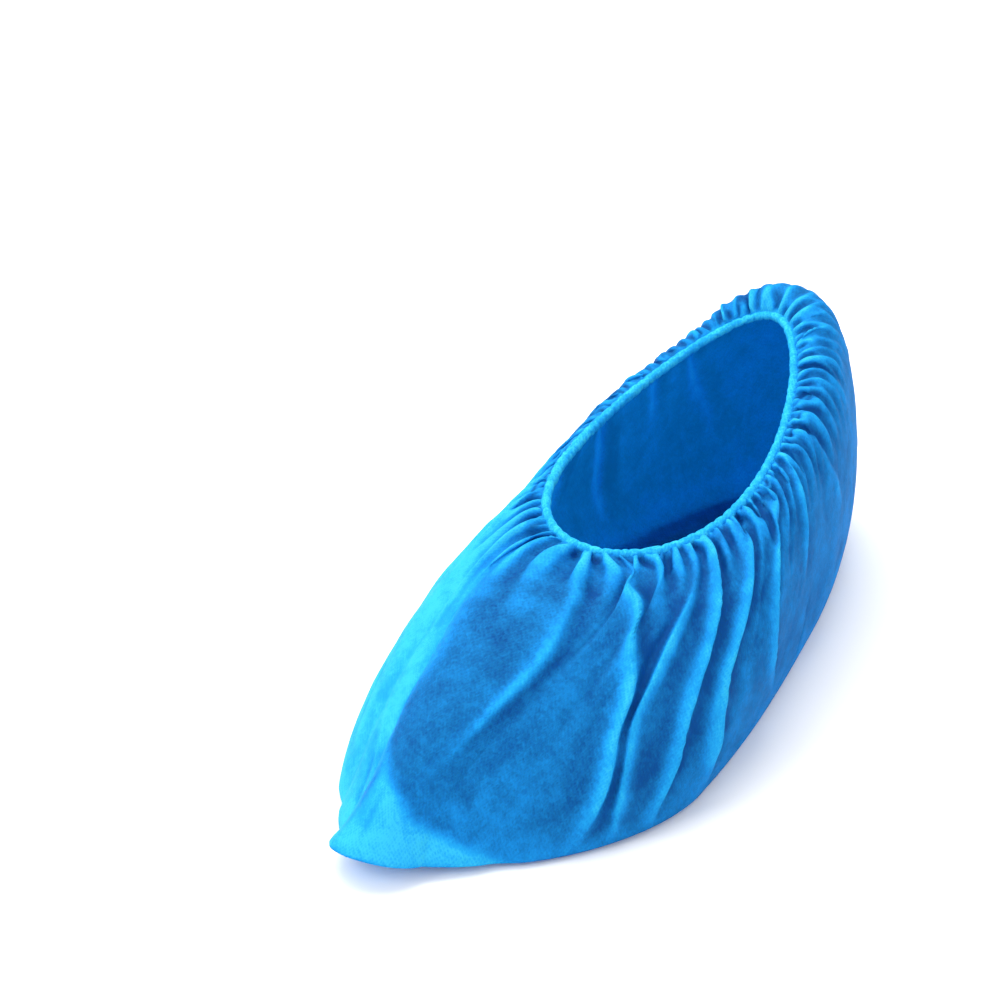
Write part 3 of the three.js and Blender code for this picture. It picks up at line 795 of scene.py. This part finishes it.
def spunbond_group():
    """Cloudy fibres and rows of pressed bond points, from a place in space and a place on the cut cloth,
    both in metres: how dense the web is, where the bonds are, and a height."""
    group = bpy.data.node_groups.new("spunbond_web", "ShaderNodeTree")
    face = group.interface
    face.new_socket("Place", in_out="INPUT", socket_type="NodeSocketVector")
    face.new_socket("Cut Place", in_out="INPUT", socket_type="NodeSocketVector")
    face.new_socket("Density", in_out="OUTPUT", socket_type="NodeSocketFloat")
    face.new_socket("Bonds", in_out="OUTPUT", socket_type="NodeSocketFloat")
    face.new_socket("Height", in_out="OUTPUT", socket_type="NodeSocketFloat")
    enter, leave = group.nodes.new("NodeGroupInput"), group.nodes.new("NodeGroupOutput")
    clouds = node(group, "ShaderNodeTexNoise", Scale=120.0, Detail=5.0, Roughness=0.7)
    specks = node(group, "ShaderNodeTexNoise", Scale=640.0, Detail=3.0, Roughness=0.75, Distortion=0.8)
    for made in (clouds, specks):
        link(group, enter.outputs["Place"], made.inputs["Vector"])
    fibres = node(group, "ShaderNodeTexNoise", Scale=260.0, Detail=4.0, Roughness=0.6, Distortion=2.5)
    stretched = node(group, "ShaderNodeMapping", Scale=(3.4, 1.0, 1.0))
    link(group, enter.outputs["Cut Place"], stretched.inputs["Vector"])
    link(group, stretched.outputs[0], fibres.inputs["Vector"])
    bonds = []
    for shift in (0.0, 0.5):
        moved = node(group, "ShaderNodeMapping", Location=(shift, shift, 0.0), Scale=(625.0, 470.0, 1.0))
        link(group, enter.outputs["Cut Place"], moved.inputs["Vector"])
        dots = node(group, "ShaderNodeTexVoronoi", Scale=1.0, Randomness=0.0)
        dots.voronoi_dimensions = "2D"
        link(group, moved.outputs[0], dots.inputs["Vector"])
        bonds.append(remap(group, dots.outputs["Distance"], 0.16, 0.30, 1.0, 0.0))
    bond = maths(group, "MAXIMUM", *bonds)
    web = maths(group, "MULTIPLY", specks.outputs["Fac"], 0.35)
    web = maths(group, "MULTIPLY_ADD", clouds.outputs["Fac"], 0.4, web)
    web = maths(group, "MULTIPLY_ADD", fibres.outputs["Fac"], 0.25, web)
    link(group, remap(group, web, 0.36, 0.64), leave.inputs["Density"])
    link(group, bond, leave.inputs["Bonds"])
    high = maths(group, "MULTIPLY_ADD", bond, -0.45, web)
    link(group, high, leave.inputs["Height"])
    return group


WEB = spunbond_group()


def ramp(tree, stops):
    """A Color Ramp node through pairs of a place and a colour."""
    made = tree.nodes.new("ShaderNodeValToRGB")
    while len(made.color_ramp.elements) < len(stops):
        made.color_ramp.elements.new(0.5)
    for element, (place, colour) in zip(made.color_ramp.elements, stops):
        element.position = place
        element.color = (*colour, 1)
    return made


# Azure from the deepest, painted shade where the cloth lies flat, to the palest, painted light where it
# stands free
AZURES = (
    (0.00, (0.004, 0.085, 0.290)),
    (0.32, (0.008, 0.190, 0.480)),
    (0.62, (0.012, 0.310, 0.760)),
    (0.85, (0.020, 0.470, 0.920)),
    (1.00, (0.050, 0.660, 0.940)),
)


def spunbond(name, level, grain, through, bump, pale=None):
    """Azure spunbonded cloth that lets some light through, by the share given as through. level is its
    paleness, from painted shade to painted light, where it has no map named pale, and grain is how strongly
    its web shows."""
    material, tree = new_material(name)
    principled = tree.nodes["Principled BSDF"]
    principled.inputs["Roughness"].default_value = 0.6
    principled.inputs["Specular IOR Level"].default_value = 0.05
    place = tree.nodes.new("ShaderNodeTexCoord")
    web = tree.nodes.new("ShaderNodeGroup")
    web.node_tree = WEB
    link(tree, place.outputs["Object"], web.inputs["Place"])
    link(tree, place.outputs["UV" if pale else "Object"], web.inputs["Cut Place"])
    if pale:
        level = node(tree, "ShaderNodeAttribute", attribute_name=pale).outputs["Fac"]
    web_share = maths(tree, "SUBTRACT", web.outputs["Density"], 0.5)
    if pale:
        grain = remap(tree, level, 0.5, 0.95, grain, 0.5 * grain)
    grained = maths(tree, "MULTIPLY_ADD", web_share, grain, level)
    grained = maths(tree, "MULTIPLY_ADD", web.outputs["Bonds"], -0.07, grained)
    colours = ramp(tree, AZURES)
    link(tree, grained, colours.inputs[0])
    link(tree, colours.outputs[0], principled.inputs["Base Color"])
    rise = node(tree, "ShaderNodeBump", Strength=bump, Distance=0.0003)
    link(tree, web.outputs["Height"], rise.inputs["Height"])
    link(tree, rise.outputs[0], principled.inputs["Normal"])
    passed = node(tree, "ShaderNodeBsdfTranslucent", Color=(0.015, 0.52, 0.90, 1))
    link(tree, rise.outputs[0], passed.inputs["Normal"])
    both = node(tree, "ShaderNodeMixShader", Fac=through)
    link(tree, principled.outputs[0], both.inputs[1])
    link(tree, passed.outputs[0], both.inputs[2])
    link(tree, both.outputs[0], tree.nodes["Material Output"].inputs["Surface"])
    return material


AZURE = spunbond("azure_spunbond", 0.4, 0.4, 0.38, 0.3, pale="paleness")
# The hem's roll is set pale all round: painted light on its roll
HEM_AZURE = spunbond("hem_spunbond", 0.88, 0.4, 0.25, 0.4)
WELD_AZURE = spunbond("welded_spunbond", 0.25, 0.3, 0.15, 0.3)


def elastic_material():
    """Pale thread wound around the elastic."""
    material, tree = new_material("covered_elastic")
    principled = tree.nodes["Principled BSDF"]
    principled.inputs["Roughness"].default_value = 0.7
    place = node(tree, "ShaderNodeTexCoord")
    threads = node(tree, "ShaderNodeTexNoise", Scale=1800.0, Detail=2.0)
    link(tree, place.outputs["Object"], threads.inputs["Vector"])
    colours = ramp(tree, ((0.35, (0.62, 0.65, 0.68)), (0.7, (0.9, 0.91, 0.92))))
    link(tree, threads.outputs["Fac"], colours.inputs[0])
    link(tree, colours.outputs[0], principled.inputs["Base Color"])
    rise = node(tree, "ShaderNodeBump", Strength=0.4, Distance=0.0001)
    link(tree, threads.outputs["Fac"], rise.inputs["Height"])
    link(tree, rise.outputs[0], principled.inputs["Normal"])
    return material


for piece, material, cad_node, slot in (
    (cloth, AZURE, "fabric_body", "cloth"),
    (hem, HEM_AZURE, "rim_hem", "hem_cloth"),
    (elastic, elastic_material(), "elastic_cord", "elastic"),
    (toe_weld, WELD_AZURE, "toe_seam", "welded_cloth"),
    (heel_weld, WELD_AZURE, "heel_seam", "welded_cloth"),
):
    piece.data.materials.append(material)
    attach(piece, "root")
    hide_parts(cad_node)


# Floor, lights and camera
def floor_material():
    material, tree = new_material("pale_floor")
    principled = tree.nodes["Principled BSDF"]
    principled.inputs["Roughness"].default_value = 0.6
    principled.inputs["Base Color"].default_value = (0.96, 0.958, 0.95, 1)
    return material


bpy.ops.object.select_all(action="DESELECT")
bpy.ops.mesh.primitive_plane_add(size=8, location=(0, 0, 0))
floor = bpy.context.active_object
floor.name = "floor"
floor.data.materials.append(floor_material())


def lamp(name, place, target, size, power):
    """A round soft panel of so many watts, turned to its target."""
    data = bpy.data.lights.new(name, "AREA")
    data.shape = "DISK"
    data.size = size
    data.energy = power
    light = bpy.data.objects.new(name, data)
    bpy.context.scene.collection.objects.link(light)
    way = Vector(target) - Vector(place)
    facing = way.to_track_quat("-Z", "Y").to_matrix().to_4x4()
    light.matrix_world = Matrix.Translation(Vector(place)) @ facing


# Each lamp's place, the height of the spot that it faces over the origin and its size, in metres, and watts
for name, place, height, size, power in (
    ("sky_panel", (-0.4, 0.4, 1.5), 0.03, 1.4, 18),
    ("front_panel", (-0.8, -1.3, 1.0), 0.04, 1.0, 11),
    ("side_panel", (1.5, -0.3, 1.0), 0.04, 1.2, 7),
    ("left_panel", (-1.4, 0.1, 1.2), 0.04, 1.4, 13),
):
    lamp(name, place, (0, 0, height), size, power)

world = bpy.data.worlds.new("studio")
world.use_nodes = True
world.node_tree.nodes["Background"].inputs["Color"].default_value = (1, 1, 1, 1)
world.node_tree.nodes["Background"].inputs["Strength"].default_value = 0.82
bpy.context.scene.world = world
bpy.context.scene.view_settings.view_transform = "Standard"

AZIMUTH, ELEVATION, DISTANCE = math.radians(31.911), math.radians(28.973), 0.88893
LENS, SENSOR = 84.513, 36
SHIFT_X, SHIFT_Y = 0.01554, 0.01231
TARGET = Vector((-0.05658, -0.00972, 0.05611)) + Vector(slide * MM)
back = Vector((
    math.sin(AZIMUTH) * math.cos(ELEVATION),
    -math.cos(AZIMUTH) * math.cos(ELEVATION),
    math.sin(ELEVATION),
))
lens = bpy.data.cameras.new("photo_view")
lens.lens, lens.sensor_width = LENS, SENSOR
lens.shift_x, lens.shift_y = SHIFT_X, SHIFT_Y
camera = bpy.data.objects.new("photo_view", lens)
bpy.context.scene.collection.objects.link(camera)
facing = (-back).to_track_quat("-Z", "Y").to_matrix().to_4x4()
camera.matrix_world = Matrix.Translation(TARGET + back * DISTANCE) @ facing
bpy.context.scene.camera = camera
